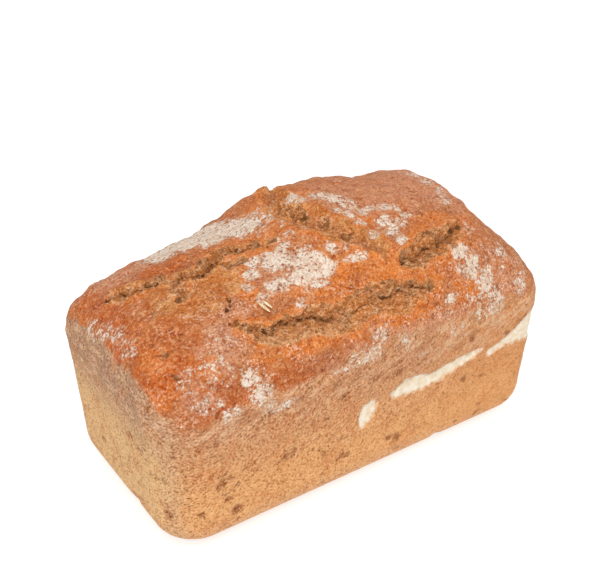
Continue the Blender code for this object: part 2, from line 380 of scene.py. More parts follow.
def crown_height(x):
    """Height of the crown above the rim along the loaf."""
    at = [row[0] for row in CROWN_PROFILE]
    height = [row[1] for row in CROWN_PROFILE]
    blend = np.linspace(-CROWN_BLEND, CROWN_BLEND, 7)
    return np.mean([np.interp(x + step, at, height) for step in blend], axis=0)


def crown_points(u, v):
    """The crown, over the whole plan inside the rim."""
    half_length = 0.5 * BASE_LENGTH + WALL_LEAN
    half_width = 0.5 * BASE_WIDTH + WALL_LEAN
    x, y = rounded_plan(u, v, half_length, half_width, RIM_CORNER_RADIUS)
    end_fall = np.clip(1.0 - np.abs(u) ** ALONG_POWER, 0.0, 1.0) ** SHOULDER_POWER
    side_fall = np.clip(1.0 - np.abs(v) ** ACROSS_POWER, 0.0, 1.0) ** SHOULDER_POWER
    rise = crown_height(x) * end_fall * side_fall
    for middle_x, middle_y, radius, height in SWELLS:
        rise = rise + height * mound(np.hypot(x - middle_x, y - middle_y), 2.0 * radius)
    return np.stack([x, y + BACKWARD_TILT * rise, TIN_DEPTH + rise], axis=-1)


def body_points(u, v, w):
    """The walls and the base: a round edge at the bottom, then a wall that leans outwards."""
    share = 0.5 * (w + 1.0)
    turn = np.clip(share / FILLET_SHARE, 0.0, 1.0) * 0.5 * math.pi
    inset = np.where(share < FILLET_SHARE, BASE_EDGE_RADIUS * (1.0 - np.sin(turn)), 0.0)
    up_wall = (share - FILLET_SHARE) / (1.0 - FILLET_SHARE)
    straight = BASE_EDGE_RADIUS + (TIN_DEPTH - BASE_EDGE_RADIUS) * up_wall
    z = np.where(share < FILLET_SHARE, BASE_EDGE_RADIUS * (1.0 - np.cos(turn)), straight)
    grow = WALL_LEAN * z / TIN_DEPTH - inset
    radius = BASE_CORNER_RADIUS + (RIM_CORNER_RADIUS - BASE_CORNER_RADIUS) * z / TIN_DEPTH
    radius = radius - CORNER_INSET * inset
    x, y = rounded_plan(u, v, 0.5 * BASE_LENGTH + grow, 0.5 * BASE_WIDTH + grow, radius)
    return np.stack([x, y, z], axis=-1)


def noise_at(points, size, offset):
    """Smooth noise from -1 to 1 with features of the given size."""
    shift = Vector((offset, 2.0 * offset, -offset))
    return np.array([noise.noise(Vector(p) / size + shift) for p in points])


def layered(points, layers):
    """Several layers of noise, one on the other."""
    return sum(height * noise_at(points, size, offset) for size, offset, height in layers)


def nearest_on_route(points, normals, route):
    """Distance to a route along the surface, the share of its length, and the offset from it."""
    best = np.full(len(points), np.inf)
    share = np.zeros(len(points))
    offset = np.zeros_like(points)
    steps = np.linalg.norm(np.diff(route, axis=0), axis=1)
    walked = np.concatenate([[0.0], np.cumsum(steps)])
    for i in range(len(steps)):
        run = route[i + 1] - route[i]
        t = np.clip(((points - route[i]) @ run) / (run @ run), 0.0, 1.0)
        away = points - (route[i] + t[:, None] * run)
        through = np.sum(away * normals, axis=1)
        away = away - through[:, None] * normals
        other_side = np.maximum(np.abs(through) - SKIN, 0.0)
        distance = np.linalg.norm(away, axis=1) + THROUGH_WEIGHT * other_side
        closer = distance < best
        best = np.where(closer, distance, best)
        share = np.where(closer, (walked[i] + t * steps[i]) / walked[-1], share)
        offset = np.where(closer[:, None], away, offset)
    return best, share, offset


def along(rows, share, column):
    """A value given at each point of a route, read at a share of the route's length."""
    table = np.array(rows, dtype=float)
    steps = np.linalg.norm(np.diff(table[:, :3], axis=0), axis=1)
    at = np.concatenate([[0.0], np.cumsum(steps)]) / steps.sum()
    return np.interp(share, at, table[:, column])


class Tear:
    """A tear in the crown: two torn slopes that meet in a deep line, under a raised lip."""

    def __init__(self, points, normals, rows, uphill, offset):
        route = np.array(rows, dtype=float)[:, :3] * MM
        distance, share, away = nearest_on_route(points, normals, route)
        wander = RAGGED * noise_at(points, RAGGED_SIZE, offset)
        wander = wander + 0.5 * RAGGED * noise_at(points, 0.35 * RAGGED_SIZE, offset + 5.0)
        self.across = np.sign(away @ np.array(uphill)) * distance + wander
        above = along(rows, share, 3) * MM
        below = along(rows, share, 4) * MM
        depth = along(rows, share, 5) * MM
        upper = self.across > 0.0
        self.width = np.where(upper, above, below)
        reach = np.abs(self.across) / self.width
        ends = smooth(np.minimum(share, 1.0 - share) / END_SHARE + END_START)
        self.near = ends * smooth(2.0 - distance / (self.width + 2.0 * RAGGED))
        dip = -depth * np.clip(1.0 - reach, 0.0, 1.0) ** np.where(upper, UPPER_SLOPE_POWER, 1.0)
        lip = LIP_HEIGHT * mound(np.abs(self.edge()), LIP_REACH)
        self.relief = (dip + lip * np.where(upper, 1.0, LOWER_LIP_SHARE)) * self.near

    def edge(self):
        """Distance in metres outside the torn area, negative inside it."""
        return np.abs(self.across) - self.width

    def line(self):
        """Signed distance in millimetres from the deepest line, far away from the tear."""
        outside = 1.0 - smooth(3.0 * self.near)
        return self.across / MM + np.sign(self.across) * 1.5 * FAR_MM * outside


def dent(points, rows):
    """How deep round dents go in, from rows of a place in millimetres, a radius and a depth."""
    deep = np.zeros(len(points))
    for x, y, z, radius, depth in rows:
        distance = np.linalg.norm(points - np.array([x, y, z]) * MM, axis=1)
        deep = np.maximum(deep, depth * MM * mound(distance, 2.0 * radius * MM))
    return deep


def wall_pits(points):
    """The small pits on the walls: their depth, and the distance in millimetres outside them."""
    draw = np.random.default_rng(WALL_PIT_SEED)
    half_length = 0.5 * BASE_LENGTH
    half_width = 0.5 * BASE_WIDTH
    half_way_round = BASE_LENGTH + BASE_WIDTH
    deep = np.zeros(len(points))
    edge = np.full(len(points), FAR_MM)
    for _ in range(WALL_PITS):
        walk = draw.uniform(0.0, 2.0 * half_way_round)
        radius = draw.uniform(*WALL_PIT_RADIUS) * MM
        stretch = draw.uniform(*WALL_PIT_STRETCH)
        depth = radius * draw.uniform(*WALL_PIT_DEPTH)
        z = draw.uniform(*WALL_PIT_HEIGHT) * TIN_DEPTH
        facing = 1.0
        if walk >= half_way_round:
            facing = -1.0
            walk = walk - half_way_round
        if walk < BASE_LENGTH:
            middle = np.array([walk - half_length, facing * half_width, z])
            scale = np.array([1.0 / stretch, WALL_PIT_THROUGH, 1.0])
        else:
            middle = np.array([facing * half_length, walk - BASE_LENGTH - half_width, z])
            scale = np.array([WALL_PIT_THROUGH, 1.0 / stretch, 1.0])
        distance = np.linalg.norm((points - middle) * scale, axis=1)
        deep = np.maximum(deep, depth * mound(distance, 2.0 * radius))
        edge = np.minimum(edge, (distance - radius) / MM)
    return deep, edge


def streak_reach(points, normals):
    """Distance in metres inside the edge of the pale streak, negative outside it."""
    inside = np.full(len(points), -1.0)
    for rows in (STREAK_LOW, STREAK_END, STREAK_SPOT):
        route = np.array(rows, dtype=float)[:, :3] * MM
        distance, share, _ = nearest_on_route(points, normals, route)
        inside = np.maximum(inside, along(rows, share, 3) * MM - distance)
    return inside


# Patches on the crust are rows of a place in millimetres, the reach along the loaf and across it,
# and a strength. On the low end, past this place along X, they reach along the end's wall instead.
LOW_END_PLACE = -95

# Where flour lies, and how wide its core and its rim are in shares of the reach
FLOUR_CORE = 0.3
FLOUR_RIM = 1.9
FLOUR = (
    # Back of the low end, a thick dry drift
    (-60, 27, 95, 14, 9, 1.0),
    (-52, 25, 98, 12, 11, 1.0),
    (-43, 19, 102, 10, 12, 1.0),
    (-35, 11, 106, 8, 11, 0.95),
    (-29, 2, 110, 8, 14, 0.55),
    (-23, 10, 113, 6, 7, 0.5),
    (-55, 35, 93, 16, 8, 0.92),
    (-44, 33, 97, 12, 8, 0.92),
    (-38, 26, 102, 8, 8, 0.92),
    (-33, 17, 105, 6, 5, 0.7),
    # Middle of the crown
    (-36, -20, 100.5, 7, 6, 0.92),
    (-28, -25, 101, 9, 6, 0.84),
    (-22, -29, 100.5, 6, 6, 0.84),
    (-27, -36, 94.0, 8, 3, 0.8),
    (-20.5, -33, 98, 6, 4, 0.92),
    (-31, -31, 97, 8, 5, 0.9),
    (-29, -34, 94.5, 5, 3, 0.76),
    (-31, -17, 104, 6, 3, 0.8),
    (-26, -13, 107, 7, 3, 0.64),
    (-40, -30, 94.6, 6, 4, 0.84),
    (-43, -16, 99.5, 4, 4, 0.84),
    (-47, -20, 97, 4, 4, 0.84),
    (-51, -24, 95, 3, 4, 0.78),
    (-49, -31, 91.7, 4, 3, 0.76),
    (-45, -28, 94, 3, 3, 0.66),
    (-36, -38, 89, 3, 3, 0.76),
    (-14, -28, 104, 3, 4, 0.84),
    (-6, -34, 100, 7, 3, 0.8),
    (-9, -29, 103.2, 5, 3, 0.72),
    (-2, -32, 101.5, 4, 2.5, 0.6),
    (-25, -32, 98, 7, 5, 0.96),
    (-33, 3, 106.5, 5, 5, 0.88),
    (-29, 5, 108.5, 4, 5, 0.84),
    (-30, -4, 108, 6, 7, 0.52),
    (-27, 10, 109, 7, 8, 0.64),
    (-25, 2, 110, 6, 6, 0.66),
    (-21, -6, 109, 6, 4, 0.62),
    (-16, -14, 108, 6, 3, 0.62),
    # Broken flakes on the far side of the valley
    (-11.5, 4, 116.4, 4, 3, 0.84),
    (-9, -1.5, 116.4, 4, 3, 0.84),
    (-2.4, -1, 116.8, 5, 3, 0.82),
    (3.6, -4, 115.7, 6, 4, 0.82),
    (8.6, -8, 114.5, 5, 4, 0.76),
    (0, -13, 113.2, 4, 3, 0.74),
    (4, -16.3, 111.6, 4, 4, 0.76),
    (8.6, -11.7, 113.2, 5, 4, 0.72),
    (12, -16, 111.2, 5, 4, 0.76),
    (6, -21.7, 109.4, 4, 3, 0.74),
    (18, -15, 112, 6, 3, 0.72),
    (23.6, -17, 111.2, 5, 3, 0.78),
    (28, -18.7, 110.7, 5, 3, 0.72),
    (30, -23, 108.6, 5, 3, 0.74),
    (17.6, -23.7, 107.8, 6, 4, 0.8),
    (18, -28.6, 104.7, 5, 4, 0.82),
    (19.4, -32, 101.8, 4, 3, 0.82),
    (9, -28, 106.2, 4, 3, 0.72),
    (25, -26, 107, 5, 3, 0.74),
    (34, -10, 113, 12, 6, 0.4),
    (60, 4, 116, 6, 5, 0.74),
    (62, -3, 114, 5, 5, 0.74),
    (62, -12, 111, 6, 6, 0.66),
    (59, -18, 109, 6, 4, 0.66),
    # Far end
    (47, -41, 94, 6, 5, 0.95),
    (52, -45, 87, 6, 7, 0.9),
    (46, -45, 87, 6, 4, 0.7),
    (58, -48, 78, 8, 9, 0.8),
    (63, -50, 70, 8, 9, 0.76),
    (55, -50, 68, 8, 10, 0.66),
    (68, -46, 78, 12, 10, 0.5),
    (56, -44, 88, 14, 12, 0.52),
    (64, 8, 116, 18, 8, 0.5),
    (36, -48, 77, 5, 3, 0.8),
    (47, -49, 74, 5, 3, 0.7),
    (74, -41, 88, 5, 6, 0.72),
    (81, -48, 75, 6, 9, 0.66),
    (60, -33, 99, 6, 5, 0.6),
    # Low end
    (-100, 14, 76, 6, 4, 0.66),
    (-99, 2, 78, 8, 6, 0.66),
    (-98, -8, 80, 8, 5, 0.66),
    (-98, -18, 79, 6, 5, 0.62),
    (-100, 0, 73, 22, 6, 0.46),
    # Front, under the tear
    (-66, -49, 71, 5, 5, 0.78),
    (-62, -51, 64, 6, 7, 0.78),
    (-76, -51, 60, 6, 4, 0.72),
    (-54, -52, 57, 9, 3, 0.72),
    (-88, -45, 75, 7, 8, 0.58),
    (-78, -44, 76, 9, 8, 0.6),
    (-72, -39, 82, 8, 8, 0.52),
    (-84, -49, 66, 8, 6, 0.6),
    (-74, -47, 71, 6, 5, 0.58),
    (-92, -34, 80, 8, 8, 0.42),
    (-5, -50, 72, 7, 5, 0.72),
    (-12, -51, 65, 11, 5, 0.7),
    (-24, -52, 62, 9, 4, 0.62),
    (8, -51, 66, 6, 5, 0.68),
    (18, -51, 58, 9, 4, 0.6),
    (40, -51, 61, 9, 5, 0.6),
    (53, -51, 66, 7, 5, 0.62),
)

# Where the crust is a clear orange
ORANGE = (
    (-98, 10, 80, 26, 9, 1.0),
    (-96, -14, 80, 12, 10, 1.0),
    (-96, -36, 74, 12, 12, 1.0),
    (-70, 10, 94, 24, 7, 1.0),
    (-40, 2, 103, 14, 5, 1.0),
    (-52, -22, 96, 5, 14, 0.9),
    (-20, -36, 94, 30, 6, 0.9),
    (14, -40, 88, 22, 6, 1.0),
    (2, -20, 110, 14, 7, 0.8),
    (46, -30, 100, 16, 10, 0.9),
    (50, -46, 78, 16, 7, 0.8),
    (-40, -46, 76, 26, 5, 0.8),
    (10, -48, 76, 26, 5, 0.7),
    (-82, -46, 74, 8, 14, 0.5),
)

# Darker bake at the low end and its corner
TOASTED = (
    (-72, 5, 94, 16, 6, 1.0),
    (-99, -18, 79, 12, 8, 1.0),
    (-97, 8, 82, 26, 9, 1.0),
    (-94, -34, 78, 14, 14, 1.0),
    (-80, -46, 66, 14, 8, 1.0),
    (-72, 14, 92, 26, 8, 0.9),
    (-38, -50, 66, 24, 5, 0.8),
)

# The brightest crust: the low corner, the ridge between the tears and the edges of the valley
BRIGHT = (
    (-94.5, -32, 80, 7, 6, 0.8),
    (-28, -45, 75, 18, 4, 0.7),
    (0, -46, 77, 16, 4, 0.6),
    (-22, 14, 113, 9, 9, 0.8),
    (-4, 2, 116, 8, 4, 0.6),
    (-4, -33, 99, 14, 5, 1.0),
    (10, -38, 94, 12, 5, 1.0),
    (-20, -30, 101, 14, 5, 0.7),
)

# Where flour has rubbed in and the crust is pinker
PINK = (
    (-84, 24, 88, 16, 12, 1.0),
    (-60, -30, 90, 8, 7, 0.7),
    (-72, -38, 82, 12, 10, 0.8),
    (30, 0, 117, 40, 24, 0.7),
    (60, 4, 112, 30, 30, 1.0),
    (-84, -46, 68, 12, 6, 0.8),
    (-34, -30, 97, 16, 14, 0.5),
    (20, -50, 66, 40, 8, 0.8),
    (-20, -50, 66, 20, 6, 0.6),
    (70, -44, 78, 18, 16, 0.5),
)


def patches(points, rows, core=0.45, rim=1.45):
    """How strongly round patches cover each point: fully in the core, and not past the rim."""
    cover = np.zeros(len(points))
    for x, y, z, reach_along, reach_across, thick in rows:
        away = points - np.array([x, y, z]) * MM
        reach = np.array([reach_along, reach_across, reach_across]) * MM
        if x < LOW_END_PLACE:
            reach = np.array([reach_across, reach_along, reach_across]) * MM
        distance = np.linalg.norm(away / reach, axis=1)
        cover = np.maximum(cover, thick * smooth((rim - distance) / (rim - core)))
    return cover


def crust_bake(points):
    """1 on the dark crust and 0 on the walls that the tin covered."""
    x, y, z = points.T
    table = np.array(CRUST_EDGE_FRONT, dtype=float) * MM
    front = np.interp(x, table[:, 0], table[:, 1])
    on_low_end = change(-x, *CRUST_TO_LOW_END) * change(y, *CRUST_OFF_FRONT)
    on_back = change(y, *CRUST_TO_BACK)
    edge = front + (CRUST_EDGE_BACK - front) * on_back
    edge = edge + (CRUST_EDGE_LOW_END - edge) * on_low_end
    edge = edge + layered(points, CRUST_EDGE_WANDER)
    fade = CRUST_FADE + CRUST_FADE_LOW_END * on_low_end
    fade = fade + CRUST_FADE_RIGHT * change(x, *CRUST_TO_RIGHT)
    return smooth((z - edge) / fade + 0.5)


def low_end_face(points):
    """1 on the wall at the low end, 0 on the long walls."""
    return change(-points[:, 0], *WALL_TO_LOW_END) * change(points[:, 1], *WALL_OFF_FRONT)


def edge_of_dents(points, rows):
    """Distance in millimetres outside the nearest dent, negative inside it."""
    edge = np.full(len(points), FAR_MM)
    for x, y, z, radius, _ in rows:
        distance = np.linalg.norm(points - np.array([x, y, z]) * MM, axis=1) / MM
        edge = np.minimum(edge, distance - radius)
    return edge


def shape_loaf(points, normals):
    """The relief along the normals, and the fields that the material reads."""
    z = points[:, 2]
    off_base = smooth(z / BASE_EDGE_RADIUS)
    crown = change(z, TIN_DEPTH, CROWN_FADE)
    front = Tear(points, normals, FRONT_TEAR, UPHILL, 11.0)
    side = Tear(points, normals, SIDE_TEAR, UPHILL, 17.0)
    right = Tear(points, normals, RIGHT_TEAR, UPHILL, 23.0)
    valley = Tear(points, normals, VALLEY, VALLEY_BACK, 29.0)
    tears = (front, side, right)

    torn_edge = np.min([tear.edge() + FAR * (1.0 - tear.near) for tear in tears], axis=0)
    torn_edge = np.minimum(torn_edge, edge_of_dents(points, CRUMB_PITS) * MM)
    valley_edge = valley.edge() + FAR * (1.0 - valley.near)
    slot = np.max([mound(np.abs(t.across), SLOT_WIDTH * 2.0) * t.near for t in tears], axis=0)
    slot = slot * smooth(SLOT_START + layered(points, SLOT_GAPS))
    split_route = np.array(SHORT_SPLIT, dtype=float) * MM
    split = nearest_on_route(points, normals, split_route)[0]
    slot = np.maximum(slot, 0.5 * mound(split, SPLIT_REACH))
    from_patch = (points - np.array(TAN_PATCH) * MM) / (np.array(TAN_REACH) * MM)
    tan_patch = smooth(TAN_RIM - np.linalg.norm(from_patch, axis=1))

    torn = smooth(0.5 - torn_edge / TORN_FADE)
    floor_of_valley = smooth(0.5 - valley_edge / VALLEY_FADE)
    crags = layered(points, CRAGS)
    blisters = layered(points, BLISTERS)
    wall_grain = layered(points * np.array(WALL_GRAIN_SQUASH), WALL_GRAIN)
    holes = np.maximum(dent(points, CROWN_HOLES), dent(points, CRUMB_PITS))
    pits, pit_edge = wall_pits(points)
    streak = streak_reach(points, normals)

    amount = layered(points, LUMPS) * (0.3 + 0.7 * crown)
    amount = amount + layered(points, GRAIN) * (0.25 + 0.75 * crown)
    above_rim = z - TIN_DEPTH
    amount = amount + OVERHANG * mound(np.abs(above_rim - OVERHANG_HEIGHT), OVERHANG_REACH)
    amount = amount + sum(tear.relief for tear in tears) + valley.relief
    rough = np.clip(torn + 0.7 * floor_of_valley + 0.5 * tan_patch, 0.0, 1.0)
    amount = amount + crags * rough + blisters * crown * (1.0 - rough) + wall_grain * (1.0 - crown)
    amount = amount - SLOT_DEPTH * slot - holes - dent(points, WALL_HOLES) - pits * (1.0 - crown)
    amount = amount - STREAK_DEPTH * smooth(streak / STREAK_EDGE + 0.5)

    fields = {
        "crust_bake": crust_bake(points),
        "low_end": low_end_face(points),
        "torn_edge": torn_edge / MM,
        "valley_edge": valley_edge / MM,
        "front_line": front.line(),
        "side_line": side.line(),
        "right_line": right.line(),
        "split_line": split / MM,
        "crumb_pit": edge_of_dents(points, CRUMB_PITS),
        "hole_edge": edge_of_dents(points, CROWN_HOLES),
        "tan_patch": tan_patch,
        "flour": patches(points, FLOUR, FLOUR_CORE, FLOUR_RIM),
        "streak": streak / MM,
        "mark_edge": edge_of_dents(points, WALL_HOLES),
        "pit_edge": pit_edge + FAR_MM * crown,
        "orange": patches(points, ORANGE),
        "pink": patches(points, PINK),
        "toasted": patches(points, TOASTED),
        "bright": patches(points, BRIGHT),
    }
    return amount * off_base - dent(points, BASE_CHIP), fields


def cut_edges(bm, axis, cells):
    """Divides the edges that run along one axis."""
    edges = [e for e in bm.edges if abs((e.verts[0].co - e.verts[1].co)[axis]) > 1.0]
    bmesh.ops.subdivide_edges(bm, edges=edges, cuts=cells - 1, use_grid_fill=True)


def new_piece(name, bm):
    """An object that holds the mesh, shaded smooth."""
    mesh = bpy.data.meshes.new(name)
    bm.to_mesh(mesh)
    bm.free()
    mesh.shade_smooth()
    piece = bpy.data.objects.new(name, mesh)
    bpy.context.scene.collection.objects.link(piece)
    return piece


def make_loaf():
    """A block of fine cells, bent into the loaf and given its relief and its fields."""
    bm = bmesh.new()
    bmesh.ops.create_cube(bm, size=2.0)
    for axis, cells in enumerate((CELLS_ALONG, CELLS_ACROSS, CELLS_UP)):
        cut_edges(bm, axis, cells)
    base = [f for f in bm.faces if f.calc_center_median().z < -0.9999]
    bmesh.ops.dissolve_faces(bm, faces=base, use_verts=True)
    grid = np.array([v.co[:] for v in bm.verts])
    u = crowd(grid[:, 0])
    v = crowd(grid[:, 1])
    on_crown = grid[:, 2] > 0.9999
    places = np.where(on_crown[:, None], crown_points(u, v), body_points(u, v, grid[:, 2]))
    for vert, place in zip(bm.verts, places):
        vert.co = place
    bmesh.ops.recalc_face_normals(bm, faces=bm.faces)
    bm.normal_update()
    normals = np.array([vert.normal[:] for vert in bm.verts])
    amount, fields = shape_loaf(places, normals)
    for vert, far in zip(bm.verts, amount):
        vert.co = vert.co + vert.normal * float(far)
    loaf = new_piece("loaf_crust", bm)
    for name, values in fields.items():
        layer = loaf.data.attributes.new(name, "FLOAT", "POINT")
        layer.data.foreach_set("value", values.astype(np.float32))
    return loaf


def make_husk(name, start, end, thick):
    """A pointed sliver of straw-like husk, lying half sunk in the crown."""
    bm = bmesh.new()
    bmesh.ops.create_icosphere(bm, subdivisions=3, radius=0.5)
    run = Vector(end) - Vector(start)
    turn = run.to_track_quat("X", "Z").to_matrix().to_4x4()
    bmesh.ops.scale(bm, vec=(run.length, HUSK_WIDTH, thick), verts=bm.verts)
    bmesh.ops.transform(bm, matrix=turn, verts=bm.verts)
    bmesh.ops.translate(bm, vec=0.5 * (Vector(start) + Vector(end)), verts=bm.verts)
    return new_piece(name, bm)


def linear(code):
    """Linear RGBA from an sRGB hex code."""
    parts = [int(code[i:i + 2], 16) / 255.0 for i in (1, 3, 5)]
    return [p / 12.92 if p <= 0.04045 else ((p + 0.055) / 1.055) ** 2.4 for p in parts] + [1.0]


def add_node(tree, kind, settings=(), links=()):
    """Adds a node with its settings and links, and returns its first output."""
    node = tree.nodes.new(kind)
    for name, value in dict(settings).items():
        if isinstance(name, str) and hasattr(node, name):
            setattr(node, name, value)
        else:
            node.inputs[name].default_value = value
    for name, source in dict(links).items():
        tree.links.new(source, node.inputs[name])
    return node.outputs[0]


class Look:
    """A material under construction: its tree, its coordinates and the maths behind its colours."""

    def __init__(self, name):
        self.material = bpy.data.materials.new(name)
        self.material.use_nodes = True
        self.tree = self.material.node_tree
        self.shader = self.tree.nodes["Principled BSDF"]
        self.place = self.tree.nodes.new("ShaderNodeTexCoord").outputs["Object"]

    def field(self, name):
        """A field that the mesh carries as an attribute."""
        node = self.tree.nodes.new("ShaderNodeAttribute")
        node.attribute_name = name
        return node.outputs["Fac"]

    def stretched(self, x, y, z, tilt=0.0, turn=0.0):
        """Coordinates stretched along each axis, tilted about Y and turned about Z in degrees."""
        rotation = (0.0, math.radians(tilt), math.radians(turn))
        settings = {"vector_type": "TEXTURE", "Rotation": rotation, "Scale": (x, y, z)}
        return add_node(self.tree, "ShaderNodeMapping", settings, {"Vector": self.place})

    def noise(self, size_mm, detail=2.0, roughness=0.5, place=None, kind="FBM"):
        """Noise whose features are about the given size in millimetres."""
        settings = {
            "noise_type": kind,
            "Scale": 1.0 / (size_mm * MM),
            "Detail": detail,
            "Roughness": roughness,
        }
        return add_node(self.tree, "ShaderNodeTexNoise", settings, {"Vector": place or self.place})

    def flakes(self, size_mm, place):
        """Distance inside the edge of a cracked patch, in shares of the patch's size."""
        settings = {"feature": "DISTANCE_TO_EDGE", "Scale": 1.0 / (size_mm * MM)}
        return add_node(self.tree, "ShaderNodeTexVoronoi", settings, {"Vector": place})

    def step(self, value, low, high):
        """0 at the first level, 1 at the second, with a soft step between."""
        settings = {"interpolation_type": "SMOOTHSTEP", "From Min": low, "From Max": high}
        return add_node(self.tree, "ShaderNodeMapRange", settings, {"Value": value})

    def maths(self, operation, first, second=0.0, clamp=False):
        """A sum, product or comparison of two values, each a socket or a number."""
        settings = {"operation": operation, "use_clamp": clamp}
        links = {}
        for slot, value in ((0, first), (1, second)):
            if isinstance(value, (int, float)):
                settings[slot] = value
            else:
                links[slot] = value
        return add_node(self.tree, "ShaderNodeMath", settings, links)

    def times(self, value, factor):
        return self.maths("MULTIPLY", value, factor)

    def plus(self, value, extra, factor=1.0):
        """A value with some of another added."""
        if factor != 1.0:
            extra = self.times(extra, factor)
        return self.maths("ADD", value, extra)

    def larger(self, first, second):
        return self.maths("MAXIMUM", first, second)

    def centred(self, value):
        """Noise moved so that its middle is 0."""
        return self.maths("SUBTRACT", value, 0.5)

    def share(self, *shares):
        """The product of several shares, held between 0 and 1."""
        result = shares[0]
        for share in shares[1:]:
            result = self.maths("MULTIPLY", result, share, True)
        return result

    def rest(self, share):
        """What is left of 1 after a share."""
        return self.maths("SUBTRACT", 1.0, share)

    def mix(self, share, under, over, blend="MIX"):
        """Two colours, each a hex code or a socket, mixed by a share."""
        node = self.tree.nodes.new("ShaderNodeMix")
        node.data_type = "RGBA"
        node.blend_type = blend
        for name, value in (("A", under), ("B", over)):
            socket = [s for s in node.inputs if s.name == name and s.type == "RGBA"][0]
            if isinstance(value, str):
                socket.default_value = linear(value)
            else:
                self.tree.links.new(value, socket)
        self.tree.links.new(share, node.inputs[0])
        return [s for s in node.outputs if s.type == "RGBA"][0]

    def coat(self, under, over, *shares, blend="MIX"):
        """A colour laid over another one, as strongly as the product of the shares."""
        return self.mix(self.share(*shares), under, over, blend)


def crust_values(look):
    """The noises, fields and edges that several layers of the crust read."""
    see = SimpleNamespace()
    see.blotch = look.noise(9.0, 4.0, 0.6)
    see.clump = look.noise(3.6, 5.0, 0.62)
    see.grain = look.noise(1.7, 4.0, 0.68)
    see.speck = look.noise(0.9, 2.0)
    see.pocket = look.noise(2.6, 2.0)
    see.bead = look.noise(0.8, 3.0, 0.6, look.stretched(1.3, 1.3, 0.9, -30.0))
    see.pore = look.noise(1.3, 3.0, 0.6, look.stretched(1.8, 1.8, 0.8, -24.0))
    see.fibre = look.noise(2.2, 6.0, 0.8, look.stretched(1.6, 1.0, 0.8, 10.0, 15.0))
    split = look.tree.nodes.new("ShaderNodeSeparateXYZ")
    look.tree.links.new(look.place, split.inputs[0])
    see.x = split.outputs["X"]
    see.z = split.outputs["Z"]

    # How far the edges of patches wander as a share, and those of tears and marks in millimetres
    see.patchy = look.times(look.centred(see.blotch), 2.2)
    see.ragged = look.plus(look.times(look.centred(see.clump), 6.0), look.centred(see.grain), 3.0)

    for name in ("low_end", "flour", "toasted", "bright", "torn_edge", "valley_edge"):
        setattr(see, name, look.field(name))
    see.pink = look.plus(look.field("pink"), see.patchy)
    see.crown_share = look.step(look.plus(look.field("crust_bake"), see.patchy, 0.35), 0.22, 0.78)
    see.torn = look.step(look.plus(see.torn_edge, see.ragged, 1.1), 1.5, 0.2)
    see.in_valley = look.plus(see.valley_edge, see.ragged)
    see.valley = look.step(see.in_valley, 0.8, -0.8)
    see.doughy = look.step(look.plus(look.field("streak"), see.ragged, 0.6), -1.1, 1.1)
    mark = look.maths("MINIMUM", look.field("mark_edge"), look.field("pit_edge"))
    see.mark = look.plus(mark, see.ragged, 0.7)
    return see


def crown_colour(look, see):
    """Orange brown, clear orange beside the tears, and pinker where flour has rubbed in."""
    crown = look.mix(look.step(look.noise(24.0), 0.38, 0.62), "#c56e33", "#be7648")
    crown = look.coat(crown, "#cb8a66", look.step(see.pink, 0.25, 0.75), 0.75)
    near_tear = look.step(look.plus(see.torn_edge, see.patchy, -5.0), 8.0, 1.0)
    near_valley = look.step(look.plus(see.valley_edge, see.patchy, -4.0), 5.0, 1.0)
    orange = look.step(look.plus(look.field("orange"), see.patchy), 0.30, 0.80)
    glow = look.larger(look.larger(near_tear, near_valley), orange)
    crown = look.coat(crown, "#d8782c", glow, 0.80)
    crown = look.coat(crown, "#e6cbae", see.toasted, 0.9, blend="MULTIPLY")
    return look.coat(crown, "#e8893c", see.bright, 0.6)


def wall_colour(look, see):
    """Yellow tan low down, pinker and greyer below the rim, with small brown marks from the tin, a
    painted highlight down the low end's corner and a painted contact shadow along the base.
    """
    drawn = look.noise(2.4, 3.0, 0.6, look.stretched(4.0, 4.0, 1.0, -24.0))
    under_rim = look.step(see.z, 0.038, 0.060)
    less_on_end = look.rest(look.share(see.low_end, 0.6))
    wall = look.mix(look.step(see.z, 0.018, 0.060), "#e2a66b", "#c68c62")
    end_wall = look.mix(look.step(see.z, 0.036, 0.066), "#e5b981", "#b3896a")
    wall = look.mix(see.low_end, wall, end_wall)
    wall = look.coat(wall, "#cb8049", look.step(see.blotch, 0.48, 0.64), 0.45)
    wall = look.coat(wall, "#efbd90", look.step(see.z, 0.016, 0.004), 0.6)
    wall = look.coat(wall, "#dc9453", look.step(see.x, 0.010, 0.070), 0.35)
    # Painted highlight: a paler grey band down the rounded corner between the low end and the long
    # wall
    wall = look.coat(wall, "#c4a68a", see.low_end, look.rest(see.low_end), 1.2)
    wall = look.coat(wall, "#ddb592", look.step(drawn, 0.52, 0.62), under_rim, 0.62)
    wall = look.coat(wall, "#9f6a44", look.step(drawn, 0.46, 0.37), under_rim, less_on_end, 0.55)
    wall = look.coat(wall, "#a86636", look.step(see.pore, 0.36, 0.30), 0.70)
    # Painted contact shadow: a grey brown band along the lowest few millimetres of the wall
    wall = look.coat(wall, "#a98d6c", look.step(see.z, 0.0034, 0.0012), 0.55)
    wall = look.coat(wall, "#b06636", look.step(see.mark, 0.5, -0.1), 0.55)
    return look.coat(wall, "#80451f", look.step(see.mark, -0.1, -0.7), 0.55)


def add_late_skin(look, see, colour):
    """Skin that stretched and tore late: tan patches, and the floor of the valley."""
    tan = look.mix(look.step(see.blotch, 0.42, 0.58), "#c0702f", "#cf9355")
    patch = look.plus(look.field("tan_patch"), see.ragged, 0.12)
    colour = look.coat(colour, tan, look.step(patch, 0.45, 0.75), 0.70)
    colour = look.coat(colour, tan, see.valley, 0.85)
    return look.coat(colour, "#a4643a", look.step(see.in_valley, -2.0, -5.0), 0.70)


